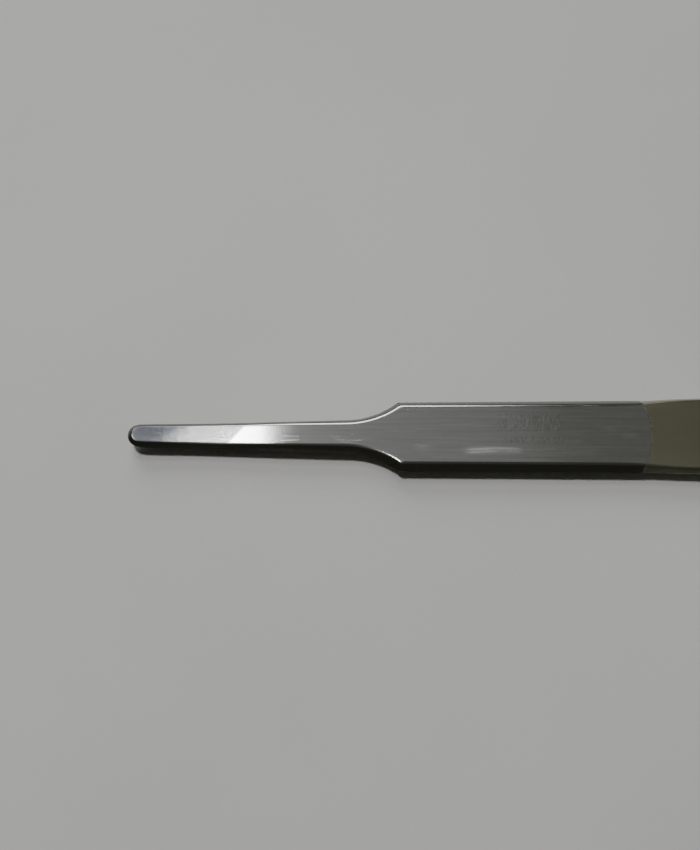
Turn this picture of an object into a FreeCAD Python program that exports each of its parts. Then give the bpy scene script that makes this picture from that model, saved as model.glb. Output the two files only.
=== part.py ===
"""Straight dental elevator, Warwick-James pattern, with a hollow handle. Millimetres.

A forged working end (blade, neck, shoulders, flat block and a hidden tang) is brazed into a
handle of two pressed skins. +X runs from the tip to the butt, +Z is the blade's face side, and
z = 0 is the flat underside. The origin is below the middle of the elevator's length.
"""
import FreeCAD, Part
import math
import os
import re
import Sketcher

SIZES = {
    # Whole elevator
    "tip_x": -80.0,
    "butt_x": 80.0,
    "thickness": 2.5,
    # Sections of the blade and the neck: place, half widths and heights
    "tip_flat": 0.92, "tip_wide": 1.4, "tip_under": 0.9,
    "tip_top": 2.3, "tip_mid": 1.78, "tip_low": 0.75,
    "bevel_x": -76.8, "bevel_flat": 0.98, "bevel_wide": 1.52, "bevel_under": 0.95,
    "bevel_top": 2.25, "bevel_mid": 1.72, "bevel_low": 0.55,
    "blade_x": -72.0, "blade_flat": 1.09, "blade_wide": 1.64, "blade_under": 1.0,
    "blade_top": 2.25, "blade_mid": 1.66, "blade_low": 0.3,
    "heel_x": -66.0, "heel_flat": 1.19, "heel_wide": 1.84, "heel_under": 1.05,
    "heel_top": 2.37, "heel_mid": 1.66, "heel_low": 0.08,
    "break_x": -63.1, "break_flat": 1.2, "break_wide": 1.93, "break_under": 1.1,
    "break_top": 2.5, "break_mid": 1.68, "break_low": 0.0,
    "neck_x": -54.0, "neck_flat": 1.2, "neck_wide": 2.2, "neck_under": 1.2,
    # Hollow grind and nose of the blade
    "nose_radius": 1.4,
    "gouge_radius": 1.9,
    "gouge_depth": 0.22,
    "gouge_end_x": -66.3,
    # Shoulders and block
    "widest_z": 1.7,
    "shoulder_radius": 10.1,
    "shoulder_sweep": 40.0,
    "mouth_flat": 3.72, "mouth_wide": 4.8, "mouth_under": 3.5,
    "mouth_x": -17.0,
    "mouth_radius": 9.6,
    "braze_gap": 0.15,
    # Tang
    "tang_width": 5.0,
    "tang_thickness": 1.3,
    "tang_root_x": -24.0,
    "tang_end_x": 17.0,
    # Handle form
    "skin_surface": 0.0,
    "form_start_x": -21.0,
    "form_half": 4.65,
    "blank_height": 30.0,
    "wall": 0.6,
    "flare_angle": 1.9,
    "turn_x": 25.0,
    "butt_radius": 6.3,
    "edge_radius": 1.1,
    "swell_start_x": -10.0,
    "crest_x": 50.0,
    "crest_z": 4.8,
    "belly_end_x": 58.0,
    "belly_radius": 250.0,
    # Seam between the skins
    "seam_z": 1.25,
    "seam_tilt": 0.52,
    "weld_depth": 0.35,
    "weld_height": 0.24,
    # Small pieces inside and through the handle
    "bridge_length": 8.0,
    "bridge_width": 8.4,
    "bridge_overlap": 5.0,
    "pin_diameter": 1.6,
    "pin_front_x": -4.0,
    "pin_rear_x": 7.0,
    "vent_x": 68.0,
    "vent_diameter": 1.5,
    # How far the cutting tools reach past the metal, outwards and upwards
    "reach": 3.0,
    "reach_z": 9.0,
}

doc = FreeCAD.newDocument("dental_elevator")
sheet = doc.addObject("Spreadsheet::Sheet", "Sizes")
for row, (alias, number) in enumerate(SIZES.items(), start=1):
    sheet.set(f"A{row}", alias)
    sheet.set(f"B{row}", str(number))
    sheet.setAlias(f"B{row}", alias)
doc.recompute()


def size(alias):
    """A driving dimension's number, read back from the sheet."""
    return float(sheet.get(alias))


def cells(formula):
    """A formula of aliases, as an expression that reads the sheet."""
    return re.sub("[a-z_]+", lambda word: f"Sizes.{word[0]}" if word[0] in SIZES else word[0], formula)


def origin_plane(body, role):
    """One of a body's own origin planes, found by its role."""
    for feature in body.Origin.OriginFeatures:
        if feature.Role == role:
            return feature
    raise RuntimeError(f"{body.Label} has no {role}")


def new_sketch(body, name, role, offset="0"):
    """A sketch on one of the body's origin planes, moved along its normal by a formula."""
    sketch = body.newObject("Sketcher::SketchObject", name)
    sketch.AttachmentSupport = [(origin_plane(body, role), "")]
    sketch.MapMode = "FlatFace"
    sketch.setExpression(".AttachmentOffset.Base.z", cells(offset))
    return sketch


def drive(sketch, kind, *place, formula):
    """A dimension of the sketch whose number comes from a formula of sheet cells."""
    start = sketch.evalExpression(cells(formula))
    index = sketch.addConstraint(Sketcher.Constraint(kind, *place, float(start)))
    sketch.setExpression(f"Constraints[{index}]", cells(formula))


def at(sketch, geometry, end, across, up):
    """Fix one end of a sketch line at a place given by two formulas."""
    drive(sketch, "DistanceX", -1, 1, geometry, end, formula=across)
    drive(sketch, "DistanceY", -1, 1, geometry, end, formula=up)


def outline(sketch, corners):
    """A closed polygon through corners, each a pair of formulas."""
    points = []
    for across, up in corners:
        number_across = float(sketch.evalExpression(cells(across)))
        number_up = float(sketch.evalExpression(cells(up)))
        points.append(FreeCAD.Vector(number_across, number_up, 0))
    for index, point in enumerate(points):
        following = points[(index + 1) % len(points)]
        sketch.addGeometry(Part.LineSegment(point, following), False)
    for index in range(len(points)):
        following = (index + 1) % len(points)
        sketch.addConstraint(Sketcher.Constraint("Coincident", index, 2, following, 1))
    for index, (across, up) in enumerate(corners):
        at(sketch, index, 1, across, up)


# ---------------------------------------------------------------- working end

def slab_section(body, name, x, flat, wide, under, top, mid, low):
    """A six-sided section of the bar: flat face, two upper flanks, two lower flanks, underside."""
    sketch = new_sketch(body, name, "YZ_Plane", offset=x)
    outline(sketch, [
        (f"0 - ( {flat} )", top),
        (flat, top),
        (wide, mid),
        (under, low),
        (f"0 - ( {under} )", low),
        (f"0 - ( {wide} )", mid),
    ])
    return sketch


def station(body, word):
    """The section at one of the named stations of the blade or the neck."""
    names = [f"{word}_{part}" for part in ("x", "flat", "wide", "under", "top", "mid", "low")]
    return slab_section(body, f"{word}_section", *names)


def loft(body, name, sections, ruled=False):
    """An additive loft through sketches, in order."""
    feature = body.newObject("PartDesign::AdditiveLoft", name)
    feature.Profile = sections[0]
    feature.Sections = sections[1:]
    feature.Ruled = ruled
    doc.recompute()
    return feature


def add_blade(body):
    """The tapered blade with its slightly dished face, from the nose to its heel."""
    loft(body, "blade_loft", [station(body, word) for word in ("tip", "bevel", "blade", "heel")])


def neck_end(body, name):
    """The section where the neck meets the shoulders."""
    return slab_section(
        body, name, "neck_x", "neck_flat", "neck_wide", "neck_under", "thickness", "widest_z", "0"
    )


def add_neck(body):
    """The straight neck, which widens below its constant flat face."""
    start = slab_section(
        body, "neck_start", "heel_x", "heel_flat", "heel_wide", "heel_under",
        "heel_top", "heel_mid", "heel_low",
    )
    level = station(body, "break")
    loft(body, "neck_loft", [start, level, neck_end(body, "neck_finish")], ruled=True)


def shoulder_section(body, name, sweep):
    """A section of the shoulders, at an angle round their concave arc."""
    along = f"neck_x + shoulder_radius * sin(({sweep}) * 1 deg)"
    spread = f"shoulder_radius * ( 1 - cos(({sweep}) * 1 deg) )"
    return slab_section(
        body, name, along, f"neck_flat + {spread}", f"neck_wide + {spread}",
        f"neck_under + {spread}", "thickness", "widest_z", "0",
    )


def add_shoulders(body):
    """The swept shoulders: the outline follows a concave arc out to a crisp corner."""
    steps = 4
    sections = [neck_end(body, "shoulder_start")]
    for step in range(1, steps + 1):
        sweep = f"shoulder_sweep * {step} / {steps}"
        sections.append(shoulder_section(body, f"shoulder_{step}", sweep))
    loft(body, "shoulder_loft", sections)


def add_block(body):
    """The flat block, which widens slightly from the shoulders to the handle's mouth."""
    start = shoulder_section(body, "block_start", "shoulder_sweep")
    finish = slab_section(
        body, "block_finish", "mouth_x", "mouth_flat", "mouth_wide", "mouth_under",
        "thickness", "widest_z", "0",
    )
    loft(body, "block_loft", [start, finish], ruled=True)


def make_tang():
    """The flat tang that runs back inside the handle."""
    half = "tang_width / 2"
    return box("tang", ("tang_root_x", f"0 - {half}", "wall"),
               ("tang_end_x", half, "wall + tang_thickness"))


def make_gouge():
    """The grinding wheel's path: a cylinder that leaves the blade's face before the neck."""
    start_z = size("tip_top") + size("gouge_radius") - size("gouge_depth")
    end_z = size("heel_top") + size("gouge_radius")
    rise = math.degrees(math.atan2(end_z - start_z, size("gouge_end_x") - size("tip_x")))
    wheel = doc.addObject("Part::Cylinder", "gouge")
    wheel.setExpression("Radius", cells("gouge_radius"))
    wheel.setExpression("Height", cells("gouge_end_x - tip_x + 2 * reach"))
    turn = FreeCAD.Rotation(FreeCAD.Vector(0, 1, 0), 90 - rise)
    ahead = turn.multVec(FreeCAD.Vector(0, 0, -size("reach")))
    start = FreeCAD.Vector(size("tip_x"), 0, start_z)
    wheel.Placement = FreeCAD.Placement(start + ahead, turn)
    return wheel


def nose_cutter():
    """What is ground off the corners of the tip, to leave a round nose in plan."""
    low = ("tip_x - reach", "0 - reach", "0 - reach")
    corner = box("nose_box", low, ("tip_x + nose_radius", "reach", "reach_z"))
    nose = upright(
        "nose_circle", "tip_x + nose_radius", "2 * nose_radius", "0 - 2 * reach", "2 * reach_z"
    )
    return cut("nose_cutter", corner, nose)


def behind_mouth(label, gap):
    """All that lies behind the curved joint line, moved towards the tip by a formula."""
    centre = f"mouth_x - mouth_radius - {gap}"
    ahead = upright(f"{label}_circle", centre, "2 * mouth_radius", "0 - 2 * reach", "2 * reach_z")
    side = "mouth_wide + reach"
    low = (centre, f"0 - ( {side} )", "0 - reach")
    behind = box(f"{label}_box", low, ("butt_x + reach", side, "reach_z"))
    return cut(label, behind, ahead)


def make_forging():
    """The working end as forged and ground, before it is drilled for the pins."""
    body = doc.addObject("PartDesign::Body", "bar")
    add_blade(body)
    add_neck(body)
    add_shoulders(body)
    add_block(body)
    ground = cut("ground_bar", body, nose_cutter(), make_gouge(), behind_mouth("block_end", "braze_gap"))
    forging = doc.addObject("Part::Fuse", "forging")
    forging.Base = ground
    forging.Tool = make_tang()
    forging.Refine = True
    doc.recompute()
    return forging


# ---------------------------------------------------------------- booleans

def cut(label, base, *tools):
    """base with each tool cut out of it; every tool has to remove metal."""
    result = base
    for index, tool in enumerate(tools):
        last = index == len(tools) - 1
        feature = doc.addObject("Part::Cut", label if last else f"{label}_step_{index + 1}")
        feature.Base = result
        feature.Tool = tool
        doc.recompute()
        if feature.Shape.Volume >= result.Shape.Volume - 1e-6:
            raise RuntimeError(f"{tool.Label} cuts nothing from {base.Label}")
        result = feature
    return result


def common(label, first, second):
    """What two objects share."""
    feature = doc.addObject("Part::Common", label)
    feature.Base = first
    feature.Tool = second
    doc.recompute()
    return feature


def box(label, low, high, turn=None, pivot=None):
    """A box between two corners given as formulas, turned about a pivot if asked."""
    feature = doc.addObject("Part::Box", label)
    for side, lower, upper in zip(("Length", "Width", "Height"), low, high):
        feature.setExpression(side, cells(f"{upper} - ( {lower} )"))
    for axis, lower in zip("xyz", low):
        feature.setExpression(f".Placement.Base.{axis}", cells(lower))
    doc.recompute()
    if turn:
        placement = FreeCAD.Placement(FreeCAD.Vector(), turn, pivot)
        for axis in "xyz":
            feature.setExpression(f".Placement.Base.{axis}", None)
        feature.Placement = placement.multiply(feature.Placement)
        doc.recompute()
    return feature


def upright(label, x, diameter, bottom, top):
    """A vertical cylinder on the centre line, at formulas of sheet cells."""
    feature = doc.addObject("Part::Cylinder", label)
    feature.setExpression("Radius", cells(f"{diameter} / 2"))
    feature.setExpression("Height", cells(f"{top} - ( {bottom} )"))
    feature.setExpression(".Placement.Base.x", cells(x))
    feature.setExpression(".Placement.Base.z", cells(bottom))
    doc.recompute()
    return feature


# ---------------------------------------------------------------- handle

def line(first, second):
    """A straight sketch edge between two points."""
    return Part.LineSegment(FreeCAD.Vector(*first, 0), FreeCAD.Vector(*second, 0))


def arc(centre, radius, start, finish):
    """A sketch arc, anticlockwise between two angles in radians."""
    circle = Part.Circle(FreeCAD.Vector(*centre, 0), FreeCAD.Vector(0, 0, 1), radius)
    return Part.ArcOfCircle(circle, start, finish)


def constrain(sketch, constraints):
    """Add constraints that carry no number."""
    for constraint in constraints:
        sketch.addConstraint(Sketcher.Constraint(*constraint))


def plan_outline(body, inset):
    """The handle seen from above: straight flaring sides, a shallow bulge and a round butt."""
    sketch = new_sketch(body, f"{body.Label}_plan", "XY_Plane")
    start_x, turn_x = size("form_start_x"), size("turn_x")
    flare = math.radians(size("flare_angle"))
    half = size("form_half") - size(inset)
    butt = size("butt_radius") - size(inset)
    centre_x = size("butt_x") - size("butt_radius")
    turn_y = half + (turn_x - start_x) * math.tan(flare)
    # The bulge touches the straight side where it turns, and the butt's circle from outside
    behind = turn_x - centre_x
    bulge = (behind ** 2 + turn_y ** 2 - butt ** 2) / 2
    bulge /= turn_y * math.cos(flare) - behind * math.sin(flare) - butt
    bulge_x = turn_x + bulge * math.sin(flare)
    bulge_y = turn_y - bulge * math.cos(flare)
    touch = math.atan2(-bulge_y, centre_x - bulge_x)
    quarter = math.pi / 2
    edges = [
        line((start_x, -half), (start_x, half)),
        line((start_x, half), (turn_x, turn_y)),
        arc((bulge_x, bulge_y), bulge, touch, quarter + flare),
        arc((centre_x, 0), butt, -touch, touch),
        arc((bulge_x, -bulge_y), bulge, -quarter - flare, -touch),
        line((turn_x, -turn_y), (start_x, -half)),
    ]
    for edge in edges:
        sketch.addGeometry(edge, False)
    constrain(sketch, [
        ("Coincident", 0, 2, 1, 1),
        ("Coincident", 5, 2, 0, 1),
        ("Symmetric", 0, 1, 0, 2, -1),
        ("Symmetric", 1, 2, 5, 1, -1),
        ("PointOnObject", 3, 3, -1),
        ("Tangent", 1, 2, 2, 2),
        ("Tangent", 2, 1, 3, 2),
        ("Tangent", 3, 1, 4, 2),
        ("Coincident", 4, 1, 5, 1),
        ("Equal", 2, 4),
    ])
    at(sketch, 0, 2, "form_start_x", f"form_half - {inset}")
    drive(sketch, "Radius", 3, formula=f"butt_radius - {inset}")
    drive(sketch, "DistanceX", -1, 1, 3, 3, formula="butt_x - butt_radius")
    drive(sketch, "DistanceX", -1, 1, 1, 2, formula="turn_x")
    drive(sketch, "Angle", 1, formula="flare_angle * 1 deg")
    return sketch


def side_outline(body, inset):
    """The handle seen from the side: level at the mouth, swelling to a crest at the grip."""
    sketch = new_sketch(body, f"{body.Label}_side", "XZ_Plane")
    low = size(inset)
    level = size("thickness") - low
    rise = size("crest_z") - size("thickness")
    span = (size("crest_x") - size("swell_start_x")) / 2
    radius = (span ** 2 + (rise / 2) ** 2) / rise
    swing = math.asin(span / radius)
    start_x, swell_x = size("form_start_x"), size("swell_start_x")
    crest = (size("crest_x"), size("crest_z") - low)
    end_x = size("butt_x") + 1
    crown_z = crest[1] - radius
    crown_start = math.acos((end_x - crest[0]) / radius)
    quarter = math.pi / 2
    crown = arc((crest[0], crown_z), radius, crown_start, quarter + swing)
    hollow = arc((swell_x, level + radius), radius, 3 * quarter, 3 * quarter + swing)
    belly_x, belly_radius = size("belly_end_x"), size("belly_radius")
    belly_swing = math.asin((end_x - belly_x) / belly_radius)
    belly = arc((belly_x, low + belly_radius), belly_radius, 3 * quarter, 3 * quarter + belly_swing)
    edges = [
        line((start_x, low), (belly_x, low)),
        belly,
        line((end_x, belly.EndPoint.y), (end_x, crown.StartPoint.y)),
        crown,
        hollow,
        line((swell_x, level), (start_x, level)),
        line((start_x, level), (start_x, low)),
    ]
    for edge in edges:
        sketch.addGeometry(edge, False)
    constrain(sketch, [
        ("Horizontal", 0),
        ("Vertical", 2),
        ("Horizontal", 5),
        ("Vertical", 6),
        ("Tangent", 0, 2, 1, 1),
        ("Coincident", 1, 2, 2, 1),
        ("Coincident", 2, 2, 3, 1),
        ("Tangent", 3, 2, 4, 2),
        ("Tangent", 4, 1, 5, 1),
        ("Coincident", 5, 2, 6, 1),
        ("Coincident", 6, 2, 0, 1),
        ("Equal", 3, 4),
    ])
    at(sketch, 0, 1, "form_start_x", inset)
    at(sketch, 4, 1, "swell_start_x", f"thickness - {inset}")
    drive(sketch, "DistanceX", -1, 1, 0, 2, formula="belly_end_x")
    drive(sketch, "Radius", 1, formula="belly_radius")
    drive(sketch, "DistanceX", -1, 1, 2, 1, formula="butt_x + 1")
    drive(sketch, "DistanceX", -1, 1, 3, 3, formula="crest_x")
    half_span = "(( crest_x - swell_start_x ) / 2)"
    swell = "( crest_z - thickness )"
    drive(sketch, "Radius", 3, formula=f"{half_span} * {half_span} / {swell} + {swell} / 4")
    return sketch


def pad_both(body, name, sketch, length):
    """A pad the same distance to both sides of its sketch."""
    pad = body.newObject("PartDesign::Pad", name)
    pad.Profile = sketch
    pad.setExpression("Length", cells(length))
    pad.SideType = "Symmetric"
    doc.recompute()


def long_edges(shape):
    """The numbers of the edges that run round the handle, apart from those of its front end."""
    front = size("form_start_x")
    numbers = []
    for number, edge in enumerate(shape.Edges, start=1):
        bounds = edge.BoundBox
        on_front = bounds.XMax < front + 0.01
        upright_edge = max(bounds.XLength, bounds.YLength) < bounds.ZLength
        if not on_front and not upright_edge:
            numbers.append(number)
    return numbers


def handle_form(label, inset):
    """The solid form of the handle, with every face moved inwards by a sheet cell."""
    above = doc.addObject("PartDesign::Body", f"{label}_above")
    pad_both(above, f"{label}_plan_pad", plan_outline(above, inset), "blank_height")
    beside = doc.addObject("PartDesign::Body", f"{label}_beside")
    pad_both(beside, f"{label}_side_pad", side_outline(beside, inset), "blank_height")
    blank = common(f"{label}_blank", above, beside)
    rounded = doc.addObject("Part::Fillet", label)
    rounded.Base = blank
    radius = size("edge_radius") - size(inset)
    rounded.Edges = [(number, radius, radius) for number in long_edges(blank.Shape)]
    doc.recompute()
    return rounded


# ---------------------------------------------------------------- pieces

def seam_slab(label, low, high):
    """A level slice of the handle between two heights, tilted to follow the seam."""
    pivot = FreeCAD.Vector(size("mouth_x"), 0, size("seam_z"))
    turn = FreeCAD.Rotation(FreeCAD.Vector(0, 1, 0), -size("seam_tilt"))
    start = ("mouth_x - 2 * reach", "0 - reach_z", low)
    finish = ("butt_x + reach", "reach_z", high)
    return box(label, start, finish, turn, pivot)


def make_pins(outer):
    """The two cross pins, dressed flush with the skins."""
    pins = []
    for word in ("front", "rear"):
        rod = upright(f"{word}_rod", f"pin_{word}_x", "pin_diameter", "0 - reach", "reach_z")
        pins.append(common(f"{word}_pin", rod, outer))
    group = doc.addObject("Part::Compound", "tang_pins")
    group.Links = pins
    doc.recompute()
    return group


def make_bridge(inner, forging):
    """The packing block that fills the handle round the tail of the tang."""
    half = "bridge_width / 2"
    start = "tang_end_x - bridge_overlap"
    finish = f"{start} + bridge_length"
    room = box("bridge_room", (start, f"0 - {half}", "0"), (finish, half, "reach_z"))
    return cut("tang_bridge", common("bridge_blank", inner, room), forging)


def make_pieces():
    """Every piece of the elevator, ready to write."""
    forging = make_forging()
    outer = handle_form("outer_form", "skin_surface")
    inner = handle_form("inner_form", "wall")
    weld_core = handle_form("weld_core", "weld_depth")
    wall_form = cut("wall_form", outer, inner)

    handle_room = behind_mouth("handle_room", "0")
    braze_room = behind_mouth("braze_room", "braze_gap")
    braze_band = cut("braze_band", braze_room, handle_room)
    mouth_braze = common("mouth_braze", wall_form, braze_band)
    skins = common("skins", wall_form, handle_room)

    half_weld = "weld_height / 2"
    weld_slab = seam_slab("weld_slab", f"seam_z - {half_weld}", f"seam_z + {half_weld}")
    weld_ring = common("weld_ring", cut("weld_band", outer, weld_core), weld_slab)
    seam_weld = common("seam_weld", weld_ring, handle_room)

    pins = make_pins(outer)
    vent = upright("vent_hole", "vent_x", "vent_diameter", "0 - reach", "seam_z")
    vent_plug = common("vent_plug", vent, wall_form)
    below_seam = seam_slab("below_seam", "seam_z - reach_z", "seam_z")
    upper = cut("handle_shell_upper", skins, below_seam, seam_weld, pins)
    lower = cut("handle_shell_lower", common("lower_skin", skins, below_seam), seam_weld, pins, vent)
    return [
        cut("working_end", forging, pins),
        upper,
        lower,
        seam_weld,
        mouth_braze,
        make_bridge(inner, forging),
        pins,
        vent_plug,
    ]


def check(pieces):
    """Stop if any object of the document failed, or a piece isn't a sound solid."""
    for item in doc.Objects:
        if "Invalid" in item.State or "Error" in item.State:
            raise RuntimeError(f"{item.Label} failed: {item.State}")
    for piece in pieces:
        if piece.Shape.isNull() or not piece.Shape.isValid() or not piece.Shape.Solids:
            raise RuntimeError(f"{piece.Label} is not a sound solid")


def main():
    """Build the pieces, check them and write one STEP file each."""
    pieces = make_pieces()
    doc.recompute()
    check(pieces)
    os.makedirs("parts", exist_ok=True)
    for piece in pieces:
        piece.Shape.exportStep(f"parts/{piece.Label}.step")
        print(f"{piece.Label}: {len(piece.Shape.Solids)} solid, {piece.Shape.Volume:.1f} mm3")


main()
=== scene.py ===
"""Looks of the straight dental elevator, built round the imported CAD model. Metres.

The forging, the two handle skins, the weld and the braze line get meshes of their own, in the
place of their CAD nodes; the pins, the plug and the packing block keep their CAD shapes.
"""
import math

import bpy
import numpy as np
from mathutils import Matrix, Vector


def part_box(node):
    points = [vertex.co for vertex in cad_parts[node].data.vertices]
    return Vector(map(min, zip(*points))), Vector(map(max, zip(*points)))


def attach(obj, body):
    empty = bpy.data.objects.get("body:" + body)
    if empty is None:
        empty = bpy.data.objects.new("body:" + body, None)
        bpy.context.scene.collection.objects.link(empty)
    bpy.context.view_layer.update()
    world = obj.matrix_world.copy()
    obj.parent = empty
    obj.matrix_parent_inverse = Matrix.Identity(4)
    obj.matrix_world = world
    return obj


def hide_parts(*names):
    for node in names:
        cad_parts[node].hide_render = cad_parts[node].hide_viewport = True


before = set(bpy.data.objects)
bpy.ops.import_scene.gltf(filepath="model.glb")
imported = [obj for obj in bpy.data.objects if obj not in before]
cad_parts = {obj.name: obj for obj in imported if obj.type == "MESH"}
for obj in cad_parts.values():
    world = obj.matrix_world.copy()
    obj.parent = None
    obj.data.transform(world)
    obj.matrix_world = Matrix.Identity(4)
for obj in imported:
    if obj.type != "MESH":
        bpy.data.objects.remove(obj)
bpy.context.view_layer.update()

MM = 0.001
MICRON = 0.001 * MM

# Places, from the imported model
END_LOW, END_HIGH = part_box("working_end")
SKIN_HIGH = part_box("handle_shell_upper")[1]
BRAZE_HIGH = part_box("mouth_braze")[1]
TIP_X = END_LOW.x
TANG_END_X = END_HIGH.x
BUTT_X = SKIN_HIGH.x
CREST_Z = SKIN_HIGH.z
THICKNESS = END_HIGH.z
MOUTH_X = BRAZE_HIGH.x

# Places along the blade, the neck and the shoulder
NOSE_RADIUS = 1.4 * MM
BEVEL_X = TIP_X + 3.2 * MM
BLADE_X = TIP_X + 8 * MM
HEEL_X = TIP_X + 14 * MM
BREAK_X = TIP_X + 16.9 * MM
NECK_X = TIP_X + 26 * MM
SHOULDER_RADIUS = 10.1 * MM
SHOULDER_SWEEP = math.radians(40)
CORNER_X = NECK_X + SHOULDER_RADIUS * math.sin(SHOULDER_SWEEP)

# Half widths and heights of the block, the joint line and the tang
WIDEST_Z = 1.7 * MM
NECK_WIDE = 2.2 * MM
MOUTH_WIDE = 4.8 * MM
MOUTH_RADIUS = 9.6 * MM
BRAZE_GAP = 0.15 * MM
TANG_LOW = Vector((MOUTH_X - 7 * MM, -2.5 * MM, 0.6 * MM))
TANG_HIGH = Vector((TANG_END_X, 2.5 * MM, 1.9 * MM))

# Stations of the blade and neck: half width, then width and drop of the flank above the widest
# place, then height of the underside and width of the flank below the widest place
STATIONS = [TIP_X, BEVEL_X, BLADE_X, HEEL_X, BREAK_X, NECK_X]
HALF_WIDTHS = [1.4 * MM, 1.52 * MM, 1.64 * MM, 1.84 * MM, 1.93 * MM, NECK_WIDE]
FLANK_WIDTHS = [0.52 * MM, 0.62 * MM, 0.72 * MM, 0.78 * MM, 0.8 * MM, 1.0 * MM]
FLANK_DROPS = [0.5 * MM, 0.52 * MM, 0.55 * MM, 0.66 * MM, 0.75 * MM, THICKNESS - WIDEST_Z]
UNDER_HEIGHTS = [0.75 * MM, 0.55 * MM, 0.3 * MM, 0.08 * MM, 0, 0]
UNDER_WIDTHS = [0.5 * MM, 0.57 * MM, 0.64 * MM, 0.79 * MM, 0.83 * MM, 1.0 * MM]
# The same flank widths at the corner of the shoulder and at the mouth
BLOCK_STATIONS = STATIONS + [CORNER_X, MOUTH_X]
BLOCK_FLANK_WIDTHS = FLANK_WIDTHS + [1.04 * MM, 1.08 * MM]
BLOCK_UNDER_WIDTHS = UNDER_WIDTHS + [1.0 * MM, 1.3 * MM]
# Share of a flank that eases out of the face, the rest being straight
EASE_STATIONS = [TIP_X, BLADE_X, NECK_X, CORNER_X]
FLANK_EASES = [0.25, 0.6, 0.85, 0.6]
UNDER_EASE = 0.2

# The blade's face: a facet that slopes down from the neck, then a dish that rises to the tip
BREAK_MIDDLE_X = BREAK_X + 1.2 * MM
BREAK_CURVE = 2.4 * MM
FACET_SLOPE = 0.04
DISH_X = TIP_X + 13 * MM
DISH_LENGTH = 16 * MM
DISH_RADIUS = 215 * MM
DISH_OBLIQUE = 0.85
RIDGE_SLOPE = 0.03
RIDGE_SOFTNESS = 0.15 * MM

# The edge of the skins: the block's chamfer narrows over the mouth, then turns into a round
NARROWING = 0.48 * MM
NARROWING_START_X = MOUTH_X - 4 * MM
NARROWING_END_X = MOUTH_X + 4 * MM
STEEPEST_CHAMFER = 0.9
ROUNDING_START_X = MOUTH_X + 6 * MM
ROUNDING_END_X = MOUTH_X + 28 * MM
EDGE_RADIUS = 1.1 * MM
UNDERCUT = 0.3 * MM

# Shape of the handle
WALL = 0.6 * MM
INNER_RADIUS = 0.5 * MM
SWELL_X = MOUTH_X + 7 * MM
CREST_X = MOUTH_X + 67 * MM
BELLY_X = MOUTH_X + 75 * MM
BELLY_RADIUS = 250 * MM
ARC_REACH = 40 * MM
BUTT_RADIUS = 6.3 * MM
FLARE = math.radians(1.9)
TURN_X = MOUTH_X + 42 * MM
FORM_X = MOUTH_X - 4 * MM
FORM_HALF = 4.65 * MM
BRAZE_HALF = FORM_HALF + 0.13 * MM
SKIN_SUNK = 0.008 * MM
CROWN_DROP = 0.12 * MM
CROWN_HALF = 6 * MM
CROWN_START = 20 * MM
SEAM_Z = 1.25 * MM
SEAM_TILT = math.radians(0.52)
WELD_HEIGHT = 0.24 * MM
WELD_WIDTH = 0.35 * MM

# Meshes: points across a piece, the length over which the rows turn along the joint line, the
# least thickness of a border, and the angle from which an edge is sharp
ACROSS_COUNT = 81
LEAN_LENGTH = 12 * MM
THIN = 0.01 * MM
SHARP_ANGLE = math.radians(35)

# The camera and the point that it and the lights aim at
CAMERA_ELEVATION = math.radians(65)
LENS = 100
SENSOR = 36
HEIGHT_SEEN = 102 * MM
AIM = Vector((TIP_X + 26.7 * MM, 0, THICKNESS))
AIM_RAISED = 1.08 * MM


# ---------------------------------------------------------------- plan outlines

def shoulder_spread(x):
    """How far the concave shoulder arc has moved out from the neck at x."""
    along = np.clip(x - NECK_X, 0, CORNER_X - NECK_X)
    return SHOULDER_RADIUS - np.sqrt(SHOULDER_RADIUS ** 2 - along ** 2)


def forging_half_width(x):
    """The widest half width of the forging at x."""
    blade = np.interp(x, STATIONS, HALF_WIDTHS)
    corner_half = NECK_WIDE + shoulder_spread(CORNER_X)
    block = np.interp(x, [CORNER_X, MOUTH_X], [corner_half, MOUTH_WIDE])
    half = np.where(x < CORNER_X, blade + shoulder_spread(x), block)
    from_centre = np.clip(TIP_X + NOSE_RADIUS - x, 0, NOSE_RADIUS)
    nose = np.sqrt(NOSE_RADIUS ** 2 - from_centre ** 2)
    return np.where(x < TIP_X + NOSE_RADIUS, np.minimum(half, nose), half)


def bulge_circle(half, butt):
    """Centre and radius of the handle's shallow side arc, which meets the flare and the butt."""
    turn_y = half + (TURN_X - FORM_X) * math.tan(FLARE)
    behind = TURN_X - (BUTT_X - BUTT_RADIUS)
    radius = (behind ** 2 + turn_y ** 2 - butt ** 2) / 2
    radius /= turn_y * math.cos(FLARE) - behind * math.sin(FLARE) - butt
    return TURN_X + radius * math.sin(FLARE), turn_y - radius * math.cos(FLARE), radius


def handle_half_width(x):
    """The widest half width of the handle at x."""
    centre_x, centre_y, radius = bulge_circle(FORM_HALF, BUTT_RADIUS)
    straight = FORM_HALF + (x - FORM_X) * math.tan(FLARE)
    bulge = centre_y + np.sqrt(radius ** 2 - (x - centre_x) ** 2)
    from_centre = np.clip(x - (BUTT_X - BUTT_RADIUS), 0, BUTT_RADIUS)
    butt = np.sqrt(BUTT_RADIUS ** 2 - from_centre ** 2)
    half = np.where(x < TURN_X, straight, bulge)
    return np.where(x > BUTT_X - BUTT_RADIUS, np.minimum(half, butt), half)


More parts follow.
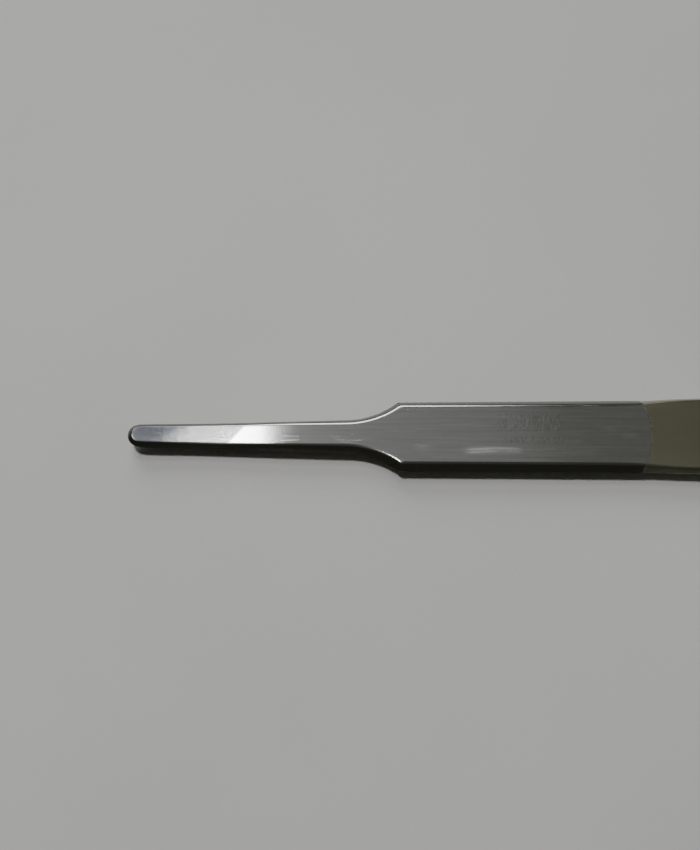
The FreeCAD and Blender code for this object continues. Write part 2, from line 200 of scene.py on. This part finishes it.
def edge_distance(x, y, half_width, start, finish):
    """Distance in plan from points to the outline y = half_width(x), both sides alike."""
    near_ends = 1.2 * MM * (1 - np.cos(np.linspace(0, math.pi / 2, 60)))
    evenly = np.linspace(start, finish, 700)
    along = np.unique(np.concatenate([evenly, start + near_ends, finish - near_ends]))
    points = np.stack([along, half_width(along)], axis=1)
    begin, step = points[:-1], np.diff(points, axis=0)
    length = np.maximum((step ** 2).sum(axis=1), 1e-18)
    result = (half_width(x) - np.abs(y)).ravel()
    # Far from the sides only the width matters, near the ends and the sides the true distance
    close = result < 2 * MM
    flat = np.stack([x.ravel()[close], np.abs(y).ravel()[close]], axis=1)
    found = np.empty(len(flat))
    batch = 1000
    for first in range(0, len(flat), batch):
        some = flat[first:first + batch, None, :] - begin[None]
        share = np.clip((some * step[None]).sum(axis=2) / length[None], 0, 1)
        away = some - share[..., None] * step[None]
        found[first:first + batch] = np.sqrt((away ** 2).sum(axis=2).min(axis=1))
    result[close] = found
    return result.reshape(x.shape)


# ---------------------------------------------------------------- section profiles

def chamfer_drop(distance, width, drop, ease):
    """How far a face has dropped near its edge: level, then easing into a straight chamfer."""
    share = np.clip(1 - distance / width, 0, 1)
    slope = 1 / (1 - ease / 2)
    return drop * np.where(share < ease, slope * share ** 2 / (2 * ease), slope * (share - ease / 2))


def round_drop(distance, radius):
    """How far a face has dropped near an edge with a round of this radius."""
    inside = np.clip(radius - distance, 0, radius)
    return radius - np.sqrt(np.maximum(radius ** 2 - inside ** 2, 0))


def smooth_share(x, start, finish):
    """0 before start, 1 after finish, easing in between."""
    share = np.clip((x - start) / (finish - start), 0, 1)
    return share ** 2 * (3 - 2 * share)


def mouth_line(y):
    """The curved joint line between block and handle, as x at y."""
    return MOUTH_X - MOUTH_RADIUS + np.sqrt(MOUTH_RADIUS ** 2 - y ** 2)


def face_height(x):
    """The forging's upper face along its middle: level block and neck, then a sloping facet."""
    # A short curve joins the sloping facet to the level neck
    before = np.clip((x - BREAK_MIDDLE_X) / BREAK_CURVE, -1, 1)
    blend = BREAK_CURVE * (1 - before) ** 2 / 4
    blend = np.where(before <= -1, BREAK_MIDDLE_X - x, blend)
    return THICKNESS - FACET_SLOPE * blend


def dish_height(x, y):
    """How far the blade's dished face stands above the facet's plane; its run-out is oblique."""
    ahead = np.clip(DISH_X + DISH_OBLIQUE * y - x, 0, DISH_LENGTH)
    ridge = RIDGE_SLOPE * ahead ** 2 / (ahead + RIDGE_SOFTNESS)
    return ridge + ahead ** 2 / (2 * DISH_RADIUS)


def edge_drop(x, distance):
    """How far the upper face has dropped near its edge, on the forging and on the skins."""
    width = np.interp(x, BLOCK_STATIONS, BLOCK_FLANK_WIDTHS)
    width = width - NARROWING * smooth_share(x, NARROWING_START_X, NARROWING_END_X)
    drop = np.minimum(np.interp(x, STATIONS, FLANK_DROPS), width * STEEPEST_CHAMFER)
    chamfer = chamfer_drop(distance, width, drop, np.interp(x, EASE_STATIONS, FLANK_EASES))
    share = smooth_share(x, ROUNDING_START_X, ROUNDING_END_X)
    return chamfer * (1 - share) + round_drop(distance, EDGE_RADIUS) * share


def undercut(x):
    """How far the lower skin stands in from the upper one, from the mouth to the grip."""
    return UNDERCUT * (1 - smooth_share(x, ROUNDING_START_X, ROUNDING_END_X))


def forging_top(x, y, distance):
    """Height of the forging's upper side."""
    return face_height(x) + dish_height(x, y) - edge_drop(x, distance)


def forging_low(x, y, distance):
    """Height of the forging's underside, which meets the upper side at the widest edge."""
    level = np.interp(x, STATIONS, UNDER_HEIGHTS)
    width = np.interp(x, BLOCK_STATIONS, BLOCK_UNDER_WIDTHS)
    edge_y = np.sign(y) * forging_half_width(x)
    rise = forging_top(x, edge_y, 0 * distance) - THIN - level
    return level + chamfer_drop(distance, width, rise, UNDER_EASE)


def handle_top_line(x):
    """The handle's upper face along its middle, level at the mouth and swelling to the crest."""
    span = (CREST_X - SWELL_X) / 2
    rise = CREST_Z - THICKNESS
    radius = span ** 2 / rise + rise / 4
    middle = SWELL_X + span
    hollow = THICKNESS + radius - np.sqrt(radius ** 2 - np.clip(x - SWELL_X, 0, span) ** 2)
    reach = np.clip(x - CREST_X, -span, ARC_REACH)
    crown = CREST_Z - radius + np.sqrt(radius ** 2 - reach ** 2)
    return np.where(x < middle, hollow, crown)


def handle_low_line(x):
    """The handle's underside along its middle: level, then curving up to the butt."""
    reach = np.clip(x - BELLY_X, 0, ARC_REACH)
    return BELLY_RADIUS - np.sqrt(BELLY_RADIUS ** 2 - reach ** 2)


def seam_height(x):
    """The middle of the weld between the skins."""
    return SEAM_Z + (x - MOUTH_X) * math.tan(SEAM_TILT)


# ---------------------------------------------------------------- meshes

def linked_object(name, mesh):
    """An object with this mesh, in the scene."""
    piece = bpy.data.objects.new(name, mesh)
    bpy.context.scene.collection.objects.link(piece)
    return piece


def closed_plate(name, x, y, top, low):
    """A closed mesh from two height grids over one plan grid, joined round their border."""
    rows, columns = x.shape
    upper = np.stack([x, y, top], axis=2).reshape(-1, 3)
    lower = np.stack([x, y, low], axis=2).reshape(-1, 3)
    number = np.arange(rows * columns).reshape(rows, columns)
    under = number + rows * columns
    faces = []

    def add(*corners):
        """Add quads, given the point numbers of each of their four corners."""
        faces.extend(np.stack([corner.ravel() for corner in corners], axis=1).tolist())

    add(number[:-1, :-1], number[1:, :-1], number[1:, 1:], number[:-1, 1:])
    add(under[:-1, 1:], under[1:, 1:], under[1:, :-1], under[:-1, :-1])
    add(number[:-1, 0], under[:-1, 0], under[1:, 0], number[1:, 0])
    add(number[1:, -1], under[1:, -1], under[:-1, -1], number[:-1, -1])
    add(number[0, 1:], under[0, 1:], under[0, :-1], number[0, :-1])
    add(number[-1, :-1], under[-1, :-1], under[-1, 1:], number[-1, 1:])
    mesh = bpy.data.meshes.new(name)
    mesh.from_pydata(np.concatenate([upper, lower]).tolist(), [], faces)
    mesh.validate()
    mesh.update()
    for polygon in mesh.polygons:
        polygon.use_smooth = True
    mesh.set_sharp_from_angle(angle=SHARP_ANGLE)
    return linked_object(name, mesh)


def across_samples():
    """Half-circle spacing from -1 to 1, so that the edges get most of the points."""
    return np.sin(np.linspace(-math.pi / 2, math.pi / 2, ACROSS_COUNT))


def stretch(start, finish, step):
    """Evenly spaced places from start up to, but without, finish."""
    count = max(2, int(round((finish - start) / step)))
    return np.linspace(start, finish, count, endpoint=False)


def border_distance(x, y, half_width, start, finish):
    """Distance of each grid point from the outline, exactly 0 on the grid's two long sides."""
    distance = edge_distance(x, y, half_width, start, finish)
    distance[:, 0] = distance[:, -1] = 0
    return distance


def forging_piece():
    """The visible part of the forging, from the nose to the joint line."""
    fine = 0.1 * MM
    coarse_x = BREAK_X + 5 * MM
    nose = NOSE_RADIUS * (1 - np.cos(np.linspace(0.06, math.pi / 2, 22)))
    rows = np.concatenate([
        TIP_X + nose[:-1],
        stretch(TIP_X + NOSE_RADIUS, coarse_x, fine),
        stretch(coarse_x, NECK_X, 2 * fine),
        stretch(NECK_X, CORNER_X, fine),
        np.linspace(CORNER_X, MOUTH_X - BRAZE_GAP, 90),
    ])
    share = across_samples()
    x = np.repeat(rows[:, None], len(share), axis=1)
    y = forging_half_width(x) * share[None]
    # The last rows lean back so that the rear end follows the curved joint line
    lean = np.clip((x - (MOUTH_X - LEAN_LENGTH)) / (LEAN_LENGTH - BRAZE_GAP), 0, 1)
    x = x + lean * (mouth_line(y) - MOUTH_X)
    y = forging_half_width(x) * share[None]
    distance = border_distance(x, y, forging_half_width, TIP_X, MOUTH_X + 2 * MM)
    low = forging_low(x, y, distance)
    top = np.maximum(forging_top(x, y, distance), low + THIN)
    return closed_plate("forging", x, y, top, low)


def tang_piece():
    """The flat tang, hidden in the handle."""
    low, high = TANG_LOW, TANG_HIGH
    corners = [
        (x, y, z) for x in (low.x, high.x) for y in (low.y, high.y) for z in (low.z, high.z)
    ]
    faces = [(0, 1, 3, 2), (4, 6, 7, 5), (0, 4, 5, 1), (2, 3, 7, 6), (0, 2, 6, 4), (1, 5, 7, 3)]
    mesh = bpy.data.meshes.new("tang")
    mesh.from_pydata(corners, [], faces)
    return linked_object("tang", mesh)


def braze_piece():
    """The braze line between block and skins, flush with both."""
    share = across_samples()
    x = np.repeat(np.array([-BRAZE_GAP, 0.0])[:, None], len(share), axis=1)
    y = np.repeat((BRAZE_HALF * share)[None], 2, axis=0)
    x = x + mouth_line(y)
    distance = border_distance(x, y, handle_half_width, FORM_X, BUTT_X)
    top = THICKNESS - THIN - edge_drop(x, distance)
    low = forging_low(x, y, distance)
    return closed_plate("mouth_line", x, y, np.maximum(top, low + THIN), low)


def skin_rows():
    """Places along the handle, closest together at the mouth and round the butt."""
    butt = BUTT_RADIUS * (1 - np.cos(np.linspace(0.05, math.pi / 2, 40)))
    return np.concatenate([
        stretch(MOUTH_X, SWELL_X, 0.25 * MM),
        stretch(SWELL_X, BUTT_X - BUTT_RADIUS, 0.6 * MM),
        (BUTT_X - butt)[::-1],
    ])


def lower_half_width(x):
    """The widest half width of the lower skin and the weld at x."""
    return handle_half_width(x) - undercut(x)


def skin_grid(half_width):
    """Plan grid of a skin and the distance of each point from its outline."""
    share = across_samples()
    x = np.repeat(skin_rows()[:, None], len(share), axis=1)
    y = half_width(x) * share[None]
    # The first rows lean back so that they follow the curved joint line
    lean = 1 - np.clip((x - MOUTH_X) / LEAN_LENGTH, 0, 1)
    x = x + lean * (mouth_line(y) - MOUTH_X)
    y = half_width(x) * share[None]
    return x, y, border_distance(x, y, half_width, FORM_X, BUTT_X)


def upper_skin():
    """The upper skin, with its real wall and the hollow behind it."""
    x, y, distance = skin_grid(handle_half_width)
    middle = handle_top_line(x)
    crown = CROWN_DROP * np.clip((x - MOUTH_X) / CROWN_START, 0, 1) * (y / CROWN_HALF) ** 2
    top = middle - SKIN_SUNK - crown - edge_drop(x, distance)
    rim = seam_height(x) + WELD_HEIGHT / 2
    ceiling = middle - WALL - round_drop(np.maximum(distance - WALL, 0), INNER_RADIUS)
    # Over the undercut the rim rises to the border of the upper side
    inset = np.maximum(undercut(x), THIN)
    border = middle - edge_drop(x, np.zeros_like(x)) - 3 * THIN
    raised = rim + np.clip(1 - distance / inset, 0, 1) * (border - rim)
    raised = np.where(undercut(x) > 2 * THIN, raised, rim)
    low = np.where(distance > WALL, np.maximum(ceiling, rim), np.maximum(rim, raised))
    return closed_plate("upper_skin", x, y, np.maximum(top, low + THIN), low)


def lower_skin():
    """The lower skin, a shallow pan."""
    x, y, distance = skin_grid(lower_half_width)
    low = handle_low_line(x) + round_drop(distance, EDGE_RADIUS)
    rim = seam_height(x) - WELD_HEIGHT / 2
    floor = handle_low_line(x) + WALL
    floor = floor + round_drop(np.maximum(distance - WALL, 0), INNER_RADIUS)
    top = np.where(distance > WALL, np.minimum(floor, rim), rim)
    return closed_plate("lower_skin", x, y, top, np.minimum(low, rim - 2 * THIN))


def weld_piece():
    """The ground weld bead between the skins, round the edge of the handle."""
    along = skin_rows()
    side = np.stack([along, lower_half_width(along)], axis=1)
    outline = np.concatenate([side * (1, -1), side[::-1]])
    step = np.gradient(outline, axis=0)
    step /= np.linalg.norm(step, axis=1)[:, None]
    inwards = np.stack([-step[:, 1], step[:, 0]], axis=1)
    section = ((0, -0.5), (0, 0.5), (WELD_WIDTH, 0.5), (WELD_WIDTH, -0.5))
    bead = np.zeros((len(outline), len(section), 3))
    for corner, (inset, height) in enumerate(section):
        bead[:, corner, :2] = outline + inwards * inset
        bead[:, corner, 2] = seam_height(outline[:, 0]) + height * WELD_HEIGHT
    number = np.arange(len(outline) * len(section)).reshape(-1, len(section))
    faces = []
    for corner in range(len(section)):
        first = number[:, corner]
        second = number[:, (corner + 1) % len(section)]
        faces += np.stack([first[:-1], first[1:], second[1:], second[:-1]], axis=1).tolist()
    faces += [number[0].tolist(), number[-1][::-1].tolist()]
    mesh = bpy.data.meshes.new("weld")
    mesh.from_pydata(bead.reshape(-1, 3).tolist(), [], faces)
    mesh.validate()
    return linked_object("weld", mesh)


# ---------------------------------------------------------------- node helpers

def new_material(name, metallic):
    """An empty node material and its shader."""
    material = bpy.data.materials.new(name)
    material.use_nodes = True
    shader = material.node_tree.nodes["Principled BSDF"]
    shader.inputs["Metallic"].default_value = metallic
    return material, material.node_tree, shader


def node(tree, kind, **settings):
    """A new node with its settings."""
    made = tree.nodes.new(kind)
    for key, value in settings.items():
        setattr(made, key, value)
    return made


def link(tree, source, target):
    """Join an output socket to an input socket."""
    tree.links.new(source, target)


def math_node(tree, operation, first, second=None, third=None):
    """A maths node; each operand is a socket or a number."""
    made = node(tree, "ShaderNodeMath", operation=operation)
    for index, operand in enumerate((first, second, third)):
        if operand is None:
            continue
        if isinstance(operand, (int, float)):
            made.inputs[index].default_value = operand
        else:
            link(tree, operand, made.inputs[index])
    return made.outputs[0]


def product(tree, first, second):
    """The product of two sockets, or of a socket and a number."""
    return math_node(tree, "MULTIPLY", first, second)


def product_sum(tree, first, second, third):
    """The product of the first two, plus the third."""
    return math_node(tree, "MULTIPLY_ADD", first, second, third)


def stretched_noise(tree, scale, detail=3.0, roughness=0.5, turn=0.0, offset=(0, 0, 0)):
    """Noise in object space, with its own scale along x, y and z."""
    place = node(tree, "ShaderNodeTexCoord").outputs["Object"]
    mapping = node(tree, "ShaderNodeMapping")
    mapping.inputs["Scale"].default_value = scale
    mapping.inputs["Rotation"].default_value = (0, 0, turn)
    mapping.inputs["Location"].default_value = offset
    link(tree, place, mapping.inputs["Vector"])
    noise = node(tree, "ShaderNodeTexNoise")
    noise.inputs["Scale"].default_value = 1.0
    noise.inputs["Detail"].default_value = detail
    noise.inputs["Roughness"].default_value = roughness
    link(tree, mapping.outputs[0], noise.inputs["Vector"])
    return noise.outputs["Fac"]


def ramp(tree, source, low, high, out_low=0.0, out_high=1.0):
    """A value mapped smoothly from one range to another."""
    made = node(tree, "ShaderNodeMapRange", interpolation_type="SMOOTHSTEP")
    if low > high:
        # Smooth steps only run upwards, so a falling one swaps both ends
        low, high, out_low, out_high = high, low, out_high, out_low
    link(tree, source, made.inputs["Value"])
    numbers = (("From Min", low), ("From Max", high), ("To Min", out_low), ("To Max", out_high))
    for key, number in numbers:
        made.inputs[key].default_value = number
    return made.outputs[0]


def mixed(tree, share, first, second):
    """Two colours mixed by a share from 0 to 1; each is a socket or red, green and blue."""
    made = node(tree, "ShaderNodeMix", data_type="RGBA")
    link(tree, share, made.inputs[0])
    for slot, colour in ((6, first), (7, second)):
        if isinstance(colour, tuple):
            made.inputs[slot].default_value = (*colour, 1)
        else:
            link(tree, colour, made.inputs[slot])
    return made.outputs[2]


def layered(tree, tone, layers):
    """Colours laid over a tone, one after another: each layer is (mask, share, colour)."""
    for mask, share, colour in layers:
        tone = mixed(tree, product(tree, mask, share), tone, colour)
    return tone


def bump_chain(tree, shader, layers):
    """Bumps on top of one another: each layer is (height socket, depth)."""
    last = None
    for height, depth in layers:
        bump = node(tree, "ShaderNodeBump")
        bump.inputs["Distance"].default_value = depth
        bump.inputs["Strength"].default_value = 1.0
        link(tree, height, bump.inputs["Height"])
        if last is not None:
            link(tree, last, bump.inputs["Normal"])
        last = bump.outputs[0]
    link(tree, last, shader.inputs["Normal"])


def brush_across(tree, shader):
    """Lengthwise brushing: highlights spread across the elevator, not along it."""
    across = node(tree, "ShaderNodeCombineXYZ")
    across.inputs["Y"].default_value = 1.0
    link(tree, across.outputs[0], shader.inputs["Tangent"])
    shader.inputs["Anisotropic"].default_value = 0.6


# ---------------------------------------------------------------- masks

def scratch_field(tree, turn, spacing, sparse, offset):
    """Thin straight scratches that lie about one direction, as a mask from 0 to 1."""
    across = 1 / spacing
    lines = stretched_noise(tree, (across / 40, across, across), 0, turn=turn, offset=offset)
    thin = math_node(tree, "ABSOLUTE", math_node(tree, "SUBTRACT", lines, 0.5))
    line = ramp(tree, thin, 0.012, 0.0)
    patch = stretched_noise(tree, (250, 900, 900), 1, turn=turn, offset=offset)
    return product(tree, line, ramp(tree, patch, sparse, sparse + 0.08))


def window_mask(tree, value, low, high, soft):
    """1 where a value lies between two limits, falling off softly outside."""
    rise = ramp(tree, value, low - soft, low)
    fall = ramp(tree, value, high, high + soft, 1.0, 0.0)
    return product(tree, rise, fall)


def object_place(tree):
    """The x and y of a point in the object's own space."""
    place = node(tree, "ShaderNodeSeparateXYZ")
    link(tree, node(tree, "ShaderNodeTexCoord").outputs["Object"], place.inputs[0])
    return place.outputs["X"], place.outputs["Y"]


def painted_flank_shade(tree):
    """1 on the flanks, 0 on the level faces: the share of painted shade that darkens the flanks."""
    normal = node(tree, "ShaderNodeSeparateXYZ")
    link(tree, node(tree, "ShaderNodeTexCoord").outputs["Normal"], normal.inputs[0])
    return ramp(tree, math_node(tree, "ABSOLUTE", normal.outputs["Z"]), 0.93, 0.82)


def mark_area(tree, ahead, behind, low, high, soft):
    """A soft rectangle on the block, in millimetres from the joint and from the middle."""
    x, y = object_place(tree)
    along = window_mask(tree, x, MOUTH_X - ahead * MM, MOUTH_X - behind * MM, 3 * soft * MM)
    across = window_mask(tree, y, low * MM, high * MM, soft * MM)
    return product(tree, along, across)


def worn_marks(tree):
    """A worn smear and rows of faint unreadable specks on the block: light and dark masks."""
    row = mark_area(tree, 21.5, 17, -2.3, -2, 0.6)
    faint_row = mark_area(tree, 16, 7, -2.4, -1.8, 0.3)
    cluster = mark_area(tree, 18, 11, 0.5, 2.5, 0.3)
    middle = mark_area(tree, 17.5, 11, -1.1, -0.5, 0.2)
    both = math_node(tree, "MAXIMUM", cluster, middle)
    speck = ramp(tree, stretched_noise(tree, (13000, 9000, 9000), 2, 0.7), 0.36, 0.7)
    upright = ramp(tree, stretched_noise(tree, (9000, 900, 900), 1), 0.5, 0.75)
    streak = ramp(tree, stretched_noise(tree, (300, 5000, 5000), 2), 0.3, 0.7)
    dark_speck = stretched_noise(tree, (6500, 1500, 1500), 2, offset=(4, 4, 4))
    dark_speck = ramp(tree, dark_speck, 0.42, 0.7)
    light = product(tree, row, product_sum(tree, streak, 0.2, 0.16))
    light = product_sum(tree, product(tree, faint_row, 0.12), speck, light)
    light = product_sum(tree, product(tree, both, 0.14), upright, light)
    # Three faint worn spots
    for ahead, low in ((27.8, -2), (5.4, 0.5), (2.9, -0.3)):
        spot = mark_area(tree, ahead, ahead - 0.5, low, low + 0.4, 0.4)
        light = product_sum(tree, product(tree, spot, 0.12), streak, light)
    return light, product(tree, both, dark_speck)


# ---------------------------------------------------------------- materials

def forged_steel():
    """Ground and worn stainless steel: lengthwise grain, scratches, a pitted blade, and painted
    shade on the flanks and towards the tip.
    """
    material, tree, shader = new_material("forged_steel", 1.0)
    fine_grain = stretched_noise(tree, (260, 9000, 9000), 3, 0.6)
    grain = stretched_noise(tree, (90, 3200, 3200), 3, 0.6)
    cloud = stretched_noise(tree, (300, 620, 620), 4, 0.6)
    grit = stretched_noise(tree, (6500, 8500, 8500), 3, 0.7)
    scratches = math_node(
        tree, "MAXIMUM",
        scratch_field(tree, 0.06, 0.3 * MM, 0.52, (1, 2, 3)),
        scratch_field(tree, 1.5, 0.4 * MM, 0.6, (2, 7, 4)),
    )
    x, y = object_place(tree)
    ahead = product_sum(tree, y, -DISH_OBLIQUE, x)
    ground = ramp(tree, ahead, DISH_X + 0.3 * MM, DISH_X - 0.2 * MM)
    # The ground face is painted darker towards the tip: painted shade standing in for the darker
    # reflection there
    painted_tip_shade = product(tree, ramp(tree, ahead, TIP_X + 8.2 * MM, TIP_X + 3.2 * MM), ground)
    pits = product(tree, ramp(tree, grit, 0.35, 0.7), ground)
    light_marks, dark_marks = worn_marks(tree)

    tone = mixed(tree, ramp(tree, grain, 0.3, 0.7), (0.50, 0.505, 0.495), (0.58, 0.585, 0.575))
    tone = layered(tree, tone, [
        (ramp(tree, cloud, 0.35, 0.7), 0.35, (0.44, 0.445, 0.43)),
        (scratches, 0.2, (0.7, 0.7, 0.69)),
        (pits, 0.5, (0.26, 0.27, 0.29)),
        # Painted shade: the ground face darkened towards the tip
        (painted_tip_shade, 0.95, (0.12, 0.125, 0.14)),
        (dark_marks, 0.35, (0.2, 0.2, 0.19)),
        (light_marks, 0.9, (0.9, 0.88, 0.86)),
        # Painted shade: the flanks darkened, for the dark room that they reflect
        (painted_flank_shade(tree), 0.9, (0.2, 0.2, 0.17)),
    ])
    link(tree, tone, shader.inputs["Base Color"])
    rough = product_sum(tree, cloud, 0.06, 0.118)
    for mask, amount in ((ground, 0.02), (scratches, 0.05), (light_marks, 0.4)):
        rough = product_sum(tree, mask, amount, rough)
    link(tree, rough, shader.inputs["Roughness"])
    brush_across(tree, shader)
    bump_chain(tree, shader, [
        (fine_grain, 0.8 * MICRON),
        (grain, 1.2 * MICRON),
        (scratches, 1.0 * MICRON),
        (pits, 2.6 * MICRON),
    ])
    return material


def skin_steel():
    """Satin sheet steel, warmer and finer than the forging, with painted shade on its flanks."""
    material, tree, shader = new_material("skin_steel", 1.0)
    grain = stretched_noise(tree, (160, 7000, 7000), 3, 0.6)
    cloud = stretched_noise(tree, (60, 260, 260), 3, 0.55)
    scratches = scratch_field(tree, 0.04, 0.3 * MM, 0.58, (3, 1, 8))
    tone = mixed(tree, ramp(tree, cloud, 0.3, 0.7), (0.45, 0.455, 0.34), (0.5, 0.5, 0.37))
    tone = layered(tree, tone, [
        (scratches, 0.25, (0.7, 0.69, 0.6)),
        # Painted shade: the flanks darkened, for the dark room that they reflect
        (painted_flank_shade(tree), 0.6, (0.36, 0.36, 0.3)),
    ])
    link(tree, tone, shader.inputs["Base Color"])
    link(tree, product_sum(tree, cloud, 0.06, 0.18), shader.inputs["Roughness"])
    brush_across(tree, shader)
    bump_chain(tree, shader, [(grain, 0.8 * MICRON), (scratches, 1.5 * MICRON)])
    return material


def plain_steel(name, dark, light, roughness):
    """Small pieces: steel with fine turned or dressed texture."""
    material, tree, shader = new_material(name, 1.0)
    cloud = stretched_noise(tree, (1500, 1500, 1500))
    link(tree, mixed(tree, ramp(tree, cloud, 0.3, 0.7), dark, light), shader.inputs["Base Color"])
    link(tree, product_sum(tree, cloud, 0.16, roughness), shader.inputs["Roughness"])
    brush_across(tree, shader)
    bump_chain(tree, shader, [(cloud, 1.0 * MICRON)])
    return material


def floor_material():
    """A plain pale matt floor."""
    material, tree, shader = new_material("pale_floor", 0.0)
    cloud = stretched_noise(tree, (20, 20, 20))
    tone = mixed(tree, ramp(tree, cloud, 0.3, 0.7), (0.60, 0.60, 0.59), (0.63, 0.63, 0.62))
    link(tree, tone, shader.inputs["Base Color"])
    shader.inputs["Roughness"].default_value = 0.85
    return material


# ---------------------------------------------------------------- studio

def aimed(name, data, towards, distance, aim):
    """A light or camera at a distance from a point, looking at it."""
    made = bpy.data.objects.new(name, data)
    bpy.context.scene.collection.objects.link(made)
    made.location = aim + towards * distance
    made.rotation_euler = (-towards).to_track_quat("-Z", "Y").to_euler()
    return made


def area_light(name, direction, distance, size, power, colour):
    """A soft panel in a direction from the point that it lights."""
    data = bpy.data.lights.new(name, "AREA")
    data.shape = "RECTANGLE"
    data.size, data.size_y = size
    data.energy = power
    data.color = colour
    return aimed(name, data, Vector(direction).normalized(), distance, AIM)


def studio():
    """A pale floor, a key light above, a far strip, a low far window and a dim room."""
    bpy.ops.mesh.primitive_plane_add(size=3.0, location=(0, 0, 0))
    floor = bpy.context.active_object
    floor.name = "floor"
    floor.data.materials.append(floor_material())
    key = area_light("key", (-0.28, 0.11, 0.95), 1.0, (0.13, 0.13), 0.47, (1, 0.99, 0.97))
    key.data.spread = math.radians(60)
    area_light("strip", (-0.153, 0.42, 0.9), 0.7, (0.036, 0.12), 0.46, (0.97, 0.98, 1))
    area_light("window", (-0.26, 0.85, 0.5), 0.9, (0.6, 0.42), 3.2, (0.97, 0.98, 1))
    area_light("ceiling", (0.0, 0.42, 0.9), 1.0, (0.2, 0.4), 0.05, (0.98, 1, 0.98))
    area_light("ceiling_edge", (0.2, 0.42, 0.9), 1.0, (0.18, 0.4), 0.02, (1, 1, 0.94))
    world = bpy.data.worlds.new("room")
    bpy.context.scene.world = world
    world.use_nodes = True
    background = world.node_tree.nodes["Background"]
    background.inputs["Color"].default_value = (0.5, 0.5, 0.42, 1)
    background.inputs["Strength"].default_value = 0.09


def camera():
    """The camera: across the elevator, high above it, with a long lens."""
    data = bpy.data.cameras.new("camera")
    data.lens = LENS
    data.sensor_width = SENSOR
    data.clip_start = 0.01
    towards = Vector((0, -math.cos(CAMERA_ELEVATION), math.sin(CAMERA_ELEVATION)))
    up = Vector((0, math.sin(CAMERA_ELEVATION), math.cos(CAMERA_ELEVATION)))
    aim = AIM + up * AIM_RAISED
    bpy.context.scene.camera = aimed("camera", data, towards, HEIGHT_SEEN * LENS / SENSOR, aim)


# ---------------------------------------------------------------- assembly

def joined(piece, other):
    """Two pieces made one object."""
    bpy.ops.object.select_all(action="DESELECT")
    piece.select_set(True)
    other.select_set(True)
    bpy.context.view_layer.objects.active = piece
    bpy.ops.object.join()
    return piece


def dress(name, material):
    """Give a CAD node one material."""
    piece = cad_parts[name]
    piece.data.materials.clear()
    piece.data.materials.append(material)


def stand_in(piece, name, material):
    """A piece that stands for a CAD node."""
    piece.data.materials.append(material)
    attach(piece, "root")
    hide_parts(name)


def main():
    """Make every piece, dress it and set up the studio."""
    skin = skin_steel()
    forging = joined(forging_piece(), tang_piece())
    stand_in(forging, "working_end", forged_steel())
    stand_in(upper_skin(), "handle_shell_upper", skin)
    stand_in(lower_skin(), "handle_shell_lower", skin)
    weld = plain_steel("weld_steel", (0.36, 0.35, 0.31), (0.46, 0.45, 0.4), 0.25)
    stand_in(weld_piece(), "seam_weld", weld)
    braze = plain_steel("silver_braze", (0.3, 0.3, 0.24), (0.36, 0.36, 0.3), 0.2)
    stand_in(braze_piece(), "mouth_braze", braze)
    core = plain_steel("core_steel", (0.44, 0.44, 0.43), (0.54, 0.54, 0.53), 0.25)
    for name in ("tang_bridge", "tang_pins", "vent_plug"):
        dress(name, core)
    camera()
    studio()


main()
